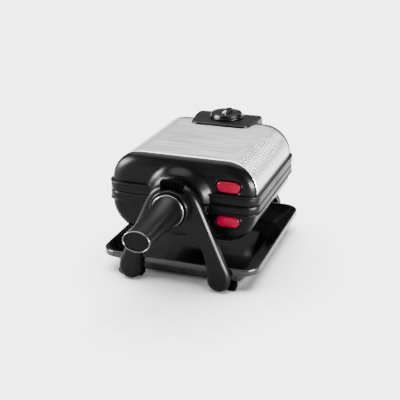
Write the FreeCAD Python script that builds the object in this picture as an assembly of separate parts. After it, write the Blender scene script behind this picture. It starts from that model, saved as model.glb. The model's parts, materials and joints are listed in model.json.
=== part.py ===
import FreeCAD, Part
import os
from math import sqrt
from FreeCAD import Vector as V

os.makedirs("parts", exist_ok=True)

# Turning waffle maker.  Millimetres.  x to the right, y to the back, z up.
# The unit is drawn about its own centre and moved at the end so that the
# whole object's box is centred on x = y = 0 with its feet on z = 0.
# Pieces of the two halves are drawn with z counted from the split plane.

# ---------------------------------------------------------------- sizes
# baking unit
axis_h = 120.0          # height of the turning axis and of the split plane
half_w = 110.0          # rim, half width
half_d = 109.0          # rim, half depth
rim_h = 14.0            # height of each rim
rim_r = 18.0            # rim corner radius in plan
rim_bulge = 3.6         # outward bow of the rim's front edge
split_gap = 0.8         # gap between the two rims

# shells
shell_step_w = 4.0      # shell inside the rim's outline, at the sides
shell_step_d = 2.0      # and at the front and back
shell_h = 58.0          # shell height above the split plane
shoulder_r = 43.0       # big shoulder radius of the shells
wall_in = 4.0           # moulded wall thickness
cover_t = 0.8           # stainless cover sheet
cap_len = 13.0          # front cap, from its face back to the cover
rear_cap_len = 17.0     # rear cap, the same
end_round = 12.0        # rounding of the shells' front and rear edges
lip_len = 5.0           # lips of the caps under the cover

# boss on the front face, half of it on each shell
boss_w = 44.0           # half width
boss_h = 50.0           # height from the split plane
boss_wall = 4.0
boss_floor = 3.0
boss_round = 6.0
upper_boss_len = 13.0   # reach in front of the shells
lower_boss_len = 17.5

# waffle plates
plate_gap = 0.3         # play in the rim's seat
plate_inset = 15.7      # plate edge inside the rim's outline
pan_inset = 10.0        # sunk pan inside the plate's edge
plate_t = 3.0
pan_deep = 13.0         # pan floor from the split plane
seat_h = 4.2            # plate seat from the split plane
seat_w = 7.0            # width of the seat
pockets = 6             # waffle pockets along each side
rib_w = 4.5
rib_top = 3.4           # rib crest from the split plane

# heating
heater_r = 3.25         # sheathed element
heater_drop = 6.0       # element axis behind the plate's back face
heater_in = 30.0        # element loop inside the pan's edge
heater_bend = 16.0
lead_x = 14.0           # element ends, from the middle
lead_len = 25.0
refl_in = 13.0          # reflector pan inside the waffle pan's edge
refl_t = 0.8
refl_deep = 23.0        # depth of the reflector pan
refl_gap = 1.0          # reflector's edge behind the plate
post_r = 3.0

# plate-release buttons
button_x = 69.0
button_h = 25.0         # centre from the split plane
button_w = 33.0
button_t = 15.5
button_proud = 1.6      # face in front of the shell
button_len = 6.0
button_gap = 0.5
button_travel = 3.0
well_deep = 9.0         # pocket depth
well_wall = 2.0
stem_r = 3.0
stem_gap = 0.5
button_spring_r = 5.5
catch_w = 10.0
catch_t = 2.0
catch_gap = 0.6
lug_t = 2.0
lug_in = 2.0            # lug inside the pan's edge
lug_w = 24.0
window_w = 14.0
window_h = 4.0

# stand
stand_t = 13.0
stand_gap = 0.5         # front stand to the journal's disc
rear_stand_gap = 14.5   # rear stand behind the dial's housing
stand_hub_w = 40.0      # half width at the axis
stand_hub_top = 32.0    # top above the axis
leg_x = 66.0            # foot centre
leg_r = 16.5            # rounded leg end
arch_drop = 35.0        # arch top below the axis
leg_lift = 1.0          # leg end above the table
stand_round = 3.0
hub_r = 27.5            # ring on the front stand
hub_reach = 14.0        # how far it stands forward
rear_hub_r = 20.0

# journals and bushes
bush_t = 4.0
shaft_r = 15.0          # front journal
rear_r = 10.0           # rear journal
run_gap = 0.05          # radial running clearance
disc_r = 22.0
disc_t = 4.0
foot_r = 20.0           # journal foot inside the lower boss
wire_r = 6.0            # hollow of the rear journal
rear_flange_r = 20.0
rear_flange_t = 4.0
bolt_x = 11.0
bolt_drop = 9.3
bolt_r = 2.5
bolt_head_r = 4.0

# handle
handle_len = 106.0      # from the collar to the end ring
handle_w = 18.6         # grip end, half width
handle_t = 14.2         # grip end, half height
collar_r = 23.4
ring_gap = 0.8          # collar to the stand's ring
collar_proud = 4.0      # collar in front of that ring
collar_edge = 1.5
spigot_r = 10.0
spigot_len = 40.0
end_ring_len = 5.0
end_ring_wall = 2.0
end_cap_sunk = 2.0
rod_r = 3.0
rod_head_r = 5.9
rod_pocket = 30.0

# hinge
hinge_back = 15.0       # hinge axis behind the rim
hinge_h = 40.0          # above the split plane
pin_r = 3.0
knuckle_r = 7.0
knuckle_gap = 0.4
arm_in, arm_out = 30.0, 40.0
ear_in = 18.0           # lid's knuckles start here
web_back = 3.0          # bracket web behind the rim
web_t = 4.0
web_half = 26.0
bracket_low = 50.0      # bracket foot below the split plane
bracket_half = 45.0

# dial and thermostat
dial_ahead = 5.0        # dial centre ahead of the rim's rear edge
dial_plate_t = 3.5
dial_plate_front = 43.0     # plate front edge ahead of the dial centre
dial_plate_w1, dial_plate_w2 = 45.0, 52.5
dial_gap = 0.4
skirt_r = 26.2
skirt_t = 2.2
knob_r = 23.6
knob_cone = 5.8
bar_w = 10.0
bar_len = 36.0
bar_h = 3.2
spindle_r = 3.0
thermo_w = 14.5         # half width
thermo_front, thermo_back = 12.0, 9.0
thermo_deep = 24.0
house_half = 52.0
house_back = 7.5        # housing behind the hinge axis
hump_wall = 2.5

# drip tray
tray_w = 116.4
tray_gap = 0.6          # tray to the front stand
tray_rear_gap = 7.0     # tray to the rear stand
tray_top = 34.5
tray_band = 9.0         # height of the hanging band
tray_t = 1.8
tray_corner = 24.0
floor_gap = 0.2         # tray above the rails
floor_w = 87.0
slope_front, slope_rear = 22.4, 12.0

# rails, heels, feet
rail_w = 16.0
rail_t = 2.2
foot_h = 2.0            # rubber below the heels
heel_in, heel_out = 15.0, 22.0      # heel either side of the foot centre
heel_h = 9.0
front_heel_len, rear_heel_len = 15.0, 12.0
pad_off = 15.0          # rubber foot outboard of the leg's centre
pad_r = 6.0
pad_pin_r = 3.0
pad_pin = 4.0
heel_screw_z = 5.4      # above the heel's underside
heel_screw_r = 1.8
heel_head_r = 3.0
heel_head_t = 3.0

# turn lock
latch_w = 31.0
latch_reach = 4.2       # in front of the stand
latch_deep = 8.0        # into the stand
latch_over_bush = 2.5   # pocket floor above the bush
latch_h = 16.5
latch_travel = 3.0
latch_gap = 0.5
latch_spring_r = 3.2

# corner screws of the lower shell
screw_in = 18.5         # in from the rim's outline
screw_r = 2.0
screw_head_r = 3.6
screw_head_t = 2.5
screw_head_at = 32.5
screw_bite = 8.0
boss_r = 5.0

# inlet gland
gland_r, gland_t = 17.0, 6.0
gland_nose_r, gland_nose = 9.0, 10.0
cable_r = 4.0
journal_over = 3.0      # rear journal past the stand

# ---------------------------------------------------------------- worked out
half_gap = split_gap / 2
latch_low = shaft_r + bush_t + latch_over_bush      # above the axis
shell_w = half_w - shell_step_w
shell_d = half_d - shell_step_d
cover_front = -shell_d + cap_len
cover_back = shell_d - rear_cap_len
upper_boss_y = -shell_d - upper_boss_len
lower_boss_y = -shell_d - lower_boss_len
plate_w = half_w - plate_inset - plate_gap
plate_d = half_d - plate_inset + 1 - plate_gap
pan_w = plate_w - pan_inset
pan_d = plate_d - pan_inset
plate_back = pan_deep + plate_t
heater_h = plate_back + heater_drop
button_face = -shell_d - button_proud
well_floor = -shell_d + well_deep
lug_y1 = -pan_d + lug_in + lug_t
lug_y0 = lug_y1 - lug_t
window_h0 = button_h - window_h - 0.5
lug_end = window_h0 + window_h + 2.5
stand_rear_face = lower_boss_y - disc_t - stand_gap
stand_front = stand_rear_face - stand_t
handle_root = stand_front - hub_reach - collar_proud
handle_end = handle_root - handle_len
hinge_y = half_d + hinge_back
web_y0 = half_d + web_back
web_y1 = web_y0 + web_t
dial_y = half_d - dial_ahead
house_h0 = hinge_h + knuckle_r + 2
house_y1 = hinge_y + house_back
stand_back = house_y1 + rear_stand_gap
rear_stand_face = stand_back + stand_t
knob_h0 = shell_h + dial_plate_t + dial_gap
knob_top = knob_h0 + skirt_t + knob_cone + bar_h
rail_z = foot_h
heel_top = foot_h + heel_h
tray_front = stand_rear_face + tray_gap
tray_back = stand_back - tray_rear_gap
tray_under = rail_z + rail_t + floor_gap
tray_floor = tray_under + tray_t
shoulder_y = stand_front - bush_t - 1   # end of the front journal's big diameter
origin = V(0, 0, 0)
X, Y, Z = V(1, 0, 0), V(0, 1, 0), V(0, 0, 1)
parts = {}


# ---------------------------------------------------------------- helpers
def box(x0, x1, y0, y1, z0, z1):
    return Part.makeBox(x1 - x0, y1 - y0, z1 - z0, V(x0, y0, z0))


def rod_y(r, x, z, y0, y1):
    return Part.makeCylinder(r, y1 - y0, V(x, y0, z), Y)


def rod_z(r, x, y, z0, z1):
    return Part.makeCylinder(r, z1 - z0, V(x, y, z0), Z)


def rod_x(r, y, z, x0, x1):
    return Part.makeCylinder(r, x1 - x0, V(x0, y, z), X)


def both_sides(shape):
    return shape.fuse(shape.mirror(origin, X))


def upper(shape):
    # from split-plane coordinates to the upper half
    out = shape.copy()
    out.translate(V(0, 0, axis_h))
    return out


def lower(shape):
    # the same shape turned over for the lower half
    out = shape.mirror(origin, Z)
    out.translate(V(0, 0, axis_h))
    return out


def face_of(edges):
    return Part.Face(Part.Wire(Part.__sortEdges__(edges)))


def corner_arc(cx, cy, r, sx, sy, z):
    k = r * sqrt(0.5)
    return Part.Arc(V(cx, cy + sy * r, z), V(cx + sx * k, cy + sy * k, z),
                    V(cx + sx * r, cy, z)).toShape()


def round_rect(hw, y0, y1, r, z):
    edges = [corner_arc(sx * (hw - r), y - sy * r, r, sx, sy, z)
             for sx in (-1, 1) for sy, y in ((-1, y0), (1, y1))]
    edges += [Part.makeLine(V(x, y0 + r, z), V(x, y1 - r, z)) for x in (-hw, hw)]
    edges += [Part.makeLine(V(r - hw, y, z), V(hw - r, y, z)) for y in (y0, y1)]
    return Part.Wire(Part.__sortEdges__(edges))


def round_block(hw, y0, y1, r, z0, z1):
    return Part.Face(round_rect(hw, y0, y1, r, z0)).extrude(V(0, 0, z1 - z0))


def edges_where(shape, test):
    return [e for e in shape.Edges if test(e.BoundBox)]


def rim_block(h0, h1):
    # rim outline with its bowed front edge
    w, d = half_w, half_d
    bow = Part.Arc(V(-w, -d, h0), V(0, -d - rim_bulge, h0), V(w, -d, h0)).toShape()
    lines = [Part.makeLine(V(w, -d, h0), V(w, d, h0)), Part.makeLine(V(w, d, h0), V(-w, d, h0)),
             Part.makeLine(V(-w, d, h0), V(-w, -d, h0))]
    solid = face_of([bow] + lines).extrude(V(0, 0, h1 - h0))
    return solid.makeFillet(rim_r, edges_where(solid, lambda b: b.XLength < 1e-6 and b.YLength < 1e-6))


def dome(inset, y0, y1, h0=rim_h):
    # prism with the shells' section: straight sides, big shoulders, flat top
    w, top, r = shell_w - inset, shell_h - inset, shoulder_r - inset
    k = r * (1 - sqrt(0.5))
    edges = [Part.makeLine(V(-w, y0, h0), V(-w, y0, top - r)),
             Part.Arc(V(-w, y0, top - r), V(k - w, y0, top - k), V(r - w, y0, top)).toShape(),
             Part.makeLine(V(r - w, y0, top), V(w - r, y0, top)),
             Part.Arc(V(w - r, y0, top), V(w - k, y0, top - k), V(w, y0, top - r)).toShape(),
             Part.makeLine(V(w, y0, top - r), V(w, y0, h0)),
             Part.makeLine(V(w, y0, h0), V(-w, y0, h0))]
    return face_of(edges).extrude(V(0, y1 - y0, 0))


def round_end(shape, y, r, h0=rim_h):
    # rounds the end face at y, all but its straight edge on the rim
    return shape.makeFillet(r, edges_where(
        shape, lambda b: abs(b.YMin - y) < 1e-6 and b.YLength < 1e-6 and b.ZMax > h0 + 1e-3))


def half_oval(w, h, y0, y1, h0):
    # half oval block standing on the split plane
    curve = Part.Ellipse(origin, max(w, h), min(w, h))
    solid = Part.Face(Part.Wire(curve.toShape())).extrude(V(0, 0, y1 - y0))
    if h > w:
        solid.rotate(origin, Z, 90)
    solid.rotate(origin, X, 90)
    solid.translate(V(0, y1, 0))
    return solid.common(box(-w - 1, w + 1, y0 - 1, y1 + 1, h0, h + 1))


def pill(w, t, x, h, y0, y1):
    # stadium bar along y
    r = t / 2
    a = w / 2 - r
    body = box(x - a, x + a, y0, y1, h - r, h + r)
    return body.fuse([rod_y(r, x - a, h, y0, y1), rod_y(r, x + a, h, y0, y1)]).removeSplitter()


def coil(r, length, turns, wire=0.6):
    # compression spring along z from the origin
    pitch = (length - 2 * wire) / turns
    path = Part.Wire(Part.makeHelix(pitch, pitch * turns, r))
    tube = Part.Wire(Part.makeCircle(wire, V(r, 0, 0), Y))
    spring = path.makePipeShell([tube], True, True)
    spring.translate(V(0, 0, wire))
    return spring


def corners(x, y):
    return [(sx * x, sy * y) for sx in (-1, 1) for sy in (-1, 1)]


# ---------------------------------------------------------------- what both halves have
def rim():
    ring = rim_block(half_gap, rim_h)
    w, d = plate_w + plate_gap, plate_d + plate_gap
    ring = ring.cut(round_block(w, -d, d, 6, 0, seat_h))
    return ring.cut(round_block(w - seat_w, seat_w - d, d - seat_w, 5, 0, rim_h + 1))


def waffle_plate():
    flange = round_block(plate_w, -plate_d, plate_d, 6, seat_h - plate_t, seat_h)
    pan = round_block(pan_w, -pan_d, pan_d, 8, seat_h - plate_t, plate_back)
    in_w, in_d = pan_w - plate_t, pan_d - plate_t
    body = flange.fuse(pan).cut(round_block(in_w, -in_d, in_d, 6, 0, pan_deep))
    ribs = []
    bite = 0.5
    for i in range(1, pockets):
        x = in_w * (2 * i / pockets - 1)
        y = in_d * (2 * i / pockets - 1)
        ribs.append(box(x - rib_w / 2, x + rib_w / 2, -in_d - bite, in_d + bite, rib_top, pan_deep + bite))
        ribs.append(box(-in_w - bite, in_w + bite, y - rib_w / 2, y + rib_w / 2, rib_top, pan_deep + bite))
    lug = box(button_x - lug_w / 2, button_x + lug_w / 2, lug_y0, lug_y1, plate_back - 2, lug_end)
    lug = lug.cut(box(button_x - window_w / 2, button_x + window_w / 2, lug_y0 - 1, lug_y1 + 1,
                      window_h0, window_h0 + window_h))
    return body.fuse(ribs + [lug]).removeSplitter()


def heater():
    # one bent tube: down from each lead, out, and round the loop
    a, b, r, h, turn = pan_w - heater_in, pan_d - heater_in, heater_bend, heater_h, 6.0
    k = sqrt(0.5)
    path = [Part.makeLine(V(lead_x, b, h + lead_len), V(lead_x, b, h + turn)),
            Part.Arc(V(lead_x, b, h + turn), V(lead_x + turn * (1 - k), b, h + turn * (1 - k)),
                     V(lead_x + turn, b, h)).toShape(),
            Part.makeLine(V(lead_x + turn, b, h), V(a - r, b, h)),
            corner_arc(a - r, b - r, r, 1, 1, h),
            Part.makeLine(V(a, b - r, h), V(a, r - b, h)),
            corner_arc(a - r, r - b, r, 1, -1, h),
            Part.makeLine(V(a - r, -b, h), V(0, -b, h))]
    tube = Part.Wire(Part.makeCircle(heater_r, V(lead_x, b, h + lead_len), Z))
    half = Part.Wire(Part.__sortEdges__(path)).makePipeShell([tube], True, True)
    return both_sides(half).removeSplitter()


def reflector():
    # bright pan on four posts, with saddles that hold the element
    w, d, t = pan_w - refl_in, pan_d - refl_in, refl_t
    top, floor = plate_back + refl_gap, plate_back + refl_gap + refl_deep
    pan = round_block(w, -d, d, 10, top, floor)
    pan = pan.cut(round_block(w - t, t - d, d - t, 10 - t, top - 1, floor - t))
    loop_w, loop_d = pan_w - heater_in, pan_d - heater_in
    for sx in (-1, 1):
        pan = pan.cut(rod_z(heater_r + 1.2, sx * lead_x, loop_d, floor - 2, floor + 1))
    for x, y in corners(w - 9, d - 9):
        pan = pan.fuse(rod_z(post_r, x, y, plate_back, floor - t))
    for x, y in corners(loop_w, (loop_d - heater_bend) / 2):
        saddle = box(x - 4, x + 4, y - 2, y + 2, heater_h + heater_r - 0.4, floor - t)
        pan = pan.fuse(saddle.cut(rod_y(heater_r, x, heater_h, y - 3, y + 3)))
    return pan.removeSplitter()


def release_button():
    # pill, stem, and the catch that passes under the lug and hooks into its window
    x0, x1 = button_x - catch_w / 2, button_x + catch_w / 2
    cap = pill(button_w, button_t, button_x, button_h, button_face, button_face + button_len)
    cap = round_end(cap, button_face, 1.6, 0)
    back = well_floor + well_wall + button_travel + catch_t + 1
    under = lug_end + catch_gap
    nose_h0, nose_h1 = window_h0 + catch_gap, window_h0 + window_h - catch_gap
    rise = lug_y1 + button_travel - 0.8
    stem = rod_y(stem_r, button_x, button_h, button_face + button_len - 0.5, back)
    neck = box(x0, x1, back - catch_t, back, button_h - 3, under + catch_t)
    arm = box(x0, x1, back - catch_t, rise + catch_t, under, under + catch_t)
    post = box(x0, x1, rise, rise + catch_t, nose_h0, under + catch_t)
    nose = box(x0, x1, lug_y0 - catch_gap, rise + 0.5, nose_h0, nose_h1)
    return cap.fuse([stem, neck, arm, post, nose]).removeSplitter()


def add_button_well(shell):
    # pocket that takes the button, with a hole for its stem
    w, t = button_w + 2 * button_gap, button_t + 2 * button_gap
    guide = pill(w + 2 * well_wall, t + 2 * well_wall, button_x, button_h,
                 -shell_d + wall_in / 2, well_floor + well_wall)
    pocket = pill(w, t, button_x, button_h, -shell_d - 20, well_floor)
    hole = rod_y(stem_r + stem_gap, button_x, button_h, -shell_d, well_floor + well_wall + 1)
    return shell.fuse(guide).cut(pocket).cut(hole)


def add_boss(shell, y):
    # hollow half boss on the shell's front, closed at the split plane
    outer = half_oval(boss_w, boss_h, y, -shell_d + wall_in, half_gap)
    outer = outer.makeFillet(boss_round, edges_where(
        outer, lambda b: b.YLength < 1e-6 and abs(b.YMin - y) < 1e-6 and b.ZMax > boss_h - 1))
    inner = half_oval(boss_w - boss_wall, boss_h - boss_wall, y + boss_wall, -shell_d + wall_in + 8,
                      half_gap + boss_floor)
    return shell.fuse(outer).cut(inner).cut(rim_block(half_gap, rim_h))


def button_spring(side):
    length = well_floor - button_face - button_len - 0.15
    spring = coil(button_spring_r, length, 5)
    spring.rotate(origin, X, -90)
    spring.translate(V(button_x, button_face + button_len + 0.1, axis_h + side * button_h))
    return spring


for half, put, side in (("upper", upper, 1), ("lower", lower, -1)):
    parts[half + "_heater"] = put(heater())
    parts[half + "_reflector"] = put(reflector())
    parts[half + "_plate"] = put(waffle_plate())
    parts[half + "_button"] = put(release_button())
    parts[half + "_button_spring"] = button_spring(side)


# ---------------------------------------------------------------- lower half
screw_x, screw_y = half_w - screw_in - 1, half_d - screw_in


def lower_shell():
    tub = dome(0, -shell_d, shell_d)
    tub = round_end(round_end(tub, -shell_d, end_round), shell_d, end_round)
    tub = tub.cut(dome(wall_in, -shell_d + wall_in, shell_d - wall_in, 0))
    tub = add_button_well(add_boss(tub, lower_boss_y))
    inside = dome(1, -shell_d + 1, shell_d - 1)
    tub = tub.fuse([rod_z(boss_r, x, y, rim_h, shell_h).common(inside)
                    for x, y in corners(screw_x, screw_y)])
    for x, y in corners(screw_x, screw_y):
        tub = tub.cut(rod_z(screw_r, x, y, rim_h - 1, shell_h))
        tub = tub.cut(rod_z(screw_head_r, x, y, screw_head_at - screw_head_t, shell_h + 1))
    return tub.cut(rod_y(foot_r, 0, 0, lower_boss_y - 1, -half_d)).removeSplitter()


def shell_screws():
    screws = []
    for x, y in corners(screw_x, screw_y):
        shank = rod_z(screw_r, x, y, rim_h - screw_bite, screw_head_at)
        head = rod_z(screw_head_r, x, y, screw_head_at - screw_head_t, screw_head_at)
        screws.append(shank.fuse(head).removeSplitter())
    return Part.makeCompound(screws)


def journal_bolts():
    bolts = []
    head_y = -plate_d + seat_w - 4
    for sx in (-1, 1):
        shank = rod_y(bolt_r, sx * bolt_x, bolt_drop, lower_boss_y + 3.5, head_y - 5)
        head = rod_y(bolt_head_r, sx * bolt_x, bolt_drop, head_y - 5, head_y)
        bolts.append(shank.fuse(head).removeSplitter())
    return bolts


def lower_rim():
    ring = rim()
    for x, y in corners(screw_x, screw_y):
        ring = ring.cut(rod_z(screw_r, x, y, rim_h - screw_bite, rim_h + 1))
    head_y = -plate_d + seat_w - 4
    for bolt, sx in zip(journal_bolts(), (-1, 1)):
        ring = ring.cut(bolt).cut(rod_y(bolt_head_r, sx * bolt_x, bolt_drop, head_y - 1, head_y + 20))
    return ring


def front_journal():
    foot = rod_y(foot_r, 0, 0, lower_boss_y, -half_d + 1)
    foot = foot.common(box(-foot_r - 1, foot_r + 1, lower_boss_y - 1, -half_d + 2, half_gap, foot_r + 1))
    foot = foot.cut(rim_block(half_gap, rim_h))
    disc = rod_y(disc_r, 0, 0, lower_boss_y - disc_t, lower_boss_y)
    shaft = rod_y(shaft_r, 0, 0, shoulder_y, lower_boss_y - disc_t)
    spigot = rod_y(spigot_r, 0, 0, handle_root - spigot_len, shoulder_y)
    body = foot.fuse([disc, shaft, spigot]).removeSplitter()
    for bolt in journal_bolts():
        body = body.cut(bolt)
    return body.cut(rod_y(rod_r, 0, 0, handle_root - spigot_len - 1, handle_root - spigot_len + 18))


def hinge_bracket():
    foot = box(-bracket_half, bracket_half, shell_d, web_y0, rim_h + 1, bracket_low)
    web = box(-web_half, web_half, web_y0, web_y1, -rear_flange_r - 4, bracket_low)
    cross = box(-arm_out, arm_out, web_y0, web_y1, rim_h + 1, bracket_low)
    arm = box(arm_in, arm_out, web_y0, hinge_y + knuckle_r - 1, -hinge_h, bracket_low)
    arm = arm.cut(box(arm_in - 1, arm_out + 1, web_y0 - 1, hinge_y - knuckle_r,
                      -hinge_h - 1, -hinge_h + knuckle_r + 5))
    arm = arm.fuse(rod_x(knuckle_r, hinge_y, -hinge_h, arm_in, arm_out))
    body = foot.fuse([web, cross, both_sides(arm)])
    body = body.cut(rod_x(pin_r, hinge_y, -hinge_h, -arm_out - 1, arm_out + 1))
    return body.cut(rod_y(wire_r, 0, 0, shell_d - 1, web_y1 + 1)).removeSplitter()


def rear_journal():
    flange = rod_y(rear_flange_r, 0, 0, web_y1, web_y1 + rear_flange_t)
    shaft = rod_y(rear_r, 0, 0, web_y1, rear_stand_face + journal_over)
    return flange.fuse(shaft).cut(rod_y(wire_r, 0, 0, web_y1 - 1, rear_stand_face + 10)).removeSplitter()


def terminal_block():
    block = box(-20, 20, shell_d - 23, shell_d - 11, shell_h - 18, shell_h - wall_in)
    for i in (-1, 0, 1):
        block = block.cut(rod_z(2.2, 12 * i, shell_d - 17, shell_h - 20, shell_h - 12))
    return block


def thermal_fuse():
    return rod_x(4, 0, plate_back + 4, -9, 9).fuse(rod_x(1, 0, plate_back + 4, -22, 22)).removeSplitter()


parts["lower_shell"] = lower(lower_shell())
parts["lower_rim"] = lower(lower_rim())
parts["shell_screws"] = lower(shell_screws())
parts["journal_bolts"] = lower(Part.makeCompound(journal_bolts()))
parts["front_journal"] = lower(front_journal())
parts["hinge_bracket"] = lower(hinge_bracket())
parts["hinge_pin"] = lower(rod_x(pin_r, hinge_y, -hinge_h, -arm_out - 2, arm_out + 2))
parts["rear_journal"] = lower(rear_journal())
parts["terminal_block"] = lower(terminal_block())
parts["thermal_fuse"] = lower(thermal_fuse())


# ---------------------------------------------------------------- handle
def oval(w, t, y):
    ring = Part.Ellipse(origin, w, t).toShape()
    ring.rotate(origin, X, 90)
    ring.translate(V(0, y, axis_h))
    return Part.Wire(ring)


def handle_grip():
    # flares from the oval end to the round collar
    def between(share):
        return (handle_w + share * (collar_r - 1.5 - handle_w),
                handle_t + share * (collar_r - 1.6 - handle_t))

    length = handle_root - handle_end - end_ring_len
    sections = [oval(*between(share), handle_root - at * length)
                for share, at in ((1.0, 0.0), (0.5, 0.22), (0.19, 0.5), (0.0, 1.0))]
    grip = Part.makeLoft(sections, True)
    spigot_end = handle_root - spigot_len
    grip = grip.cut(rod_y(spigot_r, 0, axis_h, spigot_end, handle_root + 1))
    grip = grip.cut(rod_y(rod_r, 0, axis_h, handle_end, spigot_end + 1))
    return grip.cut(rod_y(rod_head_r + 0.1, 0, axis_h, handle_end, handle_end + rod_pocket))


def handle_end_ring():
    y0, y1 = handle_end, handle_end + end_ring_len
    w, t = handle_w - end_ring_wall, handle_t - end_ring_wall
    outer = Part.makeLoft([oval(handle_w, handle_t, y1), oval(handle_w - 0.4, handle_t - 0.4, y0)], True)
    return outer.cut(Part.makeLoft([oval(w, t, y1 + 1), oval(w, t, y0 - 1)], True))


def handle_end_cap():
    w, t = handle_w - end_ring_wall, handle_t - end_ring_wall
    return Part.makeLoft([oval(w, t, handle_end + end_ring_len), oval(w, t, handle_end + end_cap_sunk)], True)


def handle_bolt():
    head_y = handle_end + rod_pocket - 6
    shank = rod_y(rod_r, 0, axis_h, head_y, handle_root - spigot_len + 18)
    return shank.fuse(rod_y(rod_head_r, 0, axis_h, head_y, handle_end + rod_pocket)).removeSplitter()


def collar():
    ring = rod_y(collar_r, 0, axis_h, handle_root, shoulder_y)
    ring = ring.makeFillet(collar_edge, edges_where(
        ring, lambda b: b.YLength < 1e-6 and abs(b.YMin - handle_root) < 1e-6))
    return ring.cut(rod_y(spigot_r, 0, axis_h, handle_root - 1, shoulder_y + 1))


parts["handle_grip"] = handle_grip()
parts["handle_end_ring"] = handle_end_ring()
parts["handle_end_cap"] = handle_end_cap()
parts["handle_bolt"] = handle_bolt()
parts["collar"] = collar()


# ---------------------------------------------------------------- lid
def cap_lip(y0, y1):
    # lip of a cap under the cover's edge
    return dome(cover_t, y0, y1).cut(dome(wall_in, y0 - 1, y1 + 1, 0))


def front_cap():
    cap = round_end(dome(0, -shell_d, cover_front), -shell_d, end_round)
    cap = cap.cut(dome(wall_in, -shell_d + wall_in, cover_front + 1, 0))
    cap = add_button_well(add_boss(cap, upper_boss_y))
    return cap.fuse(cap_lip(cover_front - 0.1, cover_front + lip_len)).removeSplitter()


def stainless_cover():
    sheet = dome(0, cover_front, cover_back).cut(dome(cover_t, cover_front - 1, cover_back + 1, 0))
    return sheet.cut(box(-thermo_w, thermo_w, dial_y - 20, cover_back + 1, shell_h - 2, shell_h + 1))


def rear_cap():
    # rounded cap, housing under the dial plate, hump for the thermostat, two hinge knuckles
    cap = round_end(dome(0, cover_back, shell_d), shell_d, end_round)
    cap = cap.cut(dome(wall_in, cover_back - 1, shell_d - wall_in, 0))
    lip = cap_lip(cover_back - lip_len, cover_back + 0.1)
    housing = box(-house_half, house_half, shell_d - 11, house_y1, house_h0, shell_h)
    housing = housing.makeFillet(4, edges_where(
        housing, lambda b: b.XLength < 1e-6 and b.YLength < 1e-6 and b.YMin > shell_d))
    hollow = box(-house_half + 3, house_half - 3, shell_d - 9, house_y1 - 3, house_h0 + 2.5, shell_h + 1)
    low = shell_h - 4 - thermo_deep
    hump = box(-thermo_w - hump_wall, thermo_w + hump_wall, shell_d - 5, dial_y + thermo_back + hump_wall,
               low, house_h0 + 1)
    hump_in = box(-thermo_w, thermo_w, dial_y - 16, dial_y + thermo_back, low + hump_wall, shell_h + 1)
    knuckle = rod_x(knuckle_r, hinge_y, hinge_h, ear_in, arm_in - knuckle_gap)
    strap = box(ear_in, arm_in - knuckle_gap, shell_d - 2, hinge_y, hinge_h - 5, hinge_h + 5)
    cap = cap.fuse([lip, housing, hump, both_sides(knuckle.fuse(strap))])
    cap = cap.cut(hollow).cut(hump_in)
    return cap.cut(rod_x(pin_r + run_gap, hinge_y, hinge_h, -arm_in, arm_in)).removeSplitter()


def dial_plate():
    y0 = dial_y - dial_plate_front
    points = [(-dial_plate_w1, y0), (dial_plate_w1, y0), (dial_plate_w2, shell_d),
              (dial_plate_w2, house_y1), (-dial_plate_w2, house_y1), (-dial_plate_w2, shell_d)]
    corners_at = [V(x, y, shell_h) for x, y in points]
    plate = Part.Face(Part.makePolygon(corners_at + corners_at[:1])).extrude(V(0, 0, dial_plate_t))
    plate = plate.makeFillet(6, edges_where(plate, lambda b: b.XLength < 1e-6 and b.YLength < 1e-6))
    return plate.cut(rod_z(spindle_r + 0.5, 0, dial_y, shell_h - 1, shell_h + 5))


def thermostat():
    body = box(-thermo_w, thermo_w, dial_y - thermo_front, dial_y + thermo_back,
               shell_h - thermo_deep, shell_h - 2)
    body = body.fuse(rod_z(7, 0, dial_y, shell_h - 3, shell_h))
    return body.cut(rod_z(spindle_r + run_gap, 0, dial_y, shell_h - 14, shell_h + 1)).removeSplitter()


def pointer():
    return box(-1.2, 1.2, dial_y - bar_len / 2 - 0.4, dial_y - 4, knob_top - 3, knob_top + 0.3)


def knob():
    skirt = rod_z(skirt_r, 0, dial_y, knob_h0, knob_h0 + skirt_t)
    cone = Part.makeCone(knob_r + 2, knob_r, knob_cone, V(0, dial_y, knob_h0 + skirt_t))
    bar = box(-bar_w / 2, bar_w / 2, dial_y - bar_len / 2, dial_y + bar_len / 2,
              knob_h0 + skirt_t + knob_cone - 1, knob_top)
    bar = bar.makeFillet(2, edges_where(bar, lambda b: b.ZMin > knob_top - 0.01 and b.YLength > 10))
    socket = rod_z(spindle_r, 0, dial_y, knob_h0 - 1, knob_h0 + skirt_t + knob_cone + 1)
    return skirt.fuse([cone, bar]).cut(socket).cut(pointer()).removeSplitter()


parts["upper_rim"] = upper(rim())
parts["front_cap"] = upper(front_cap())
parts["stainless_cover"] = upper(stainless_cover())
parts["rear_cap"] = upper(rear_cap())
parts["dial_plate"] = upper(dial_plate())
parts["thermostat"] = upper(thermostat())
parts["knob"] = upper(knob())
parts["knob_pointer"] = upper(pointer())
parts["spindle"] = upper(rod_z(spindle_r, 0, dial_y, shell_h - 13.5, knob_h0 + skirt_t + knob_cone + 1))


# ---------------------------------------------------------------- stands
def bezier(*points):
    curve = Part.BezierCurve()
    curve.setPoles(points)
    return curve.toShape()


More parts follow.
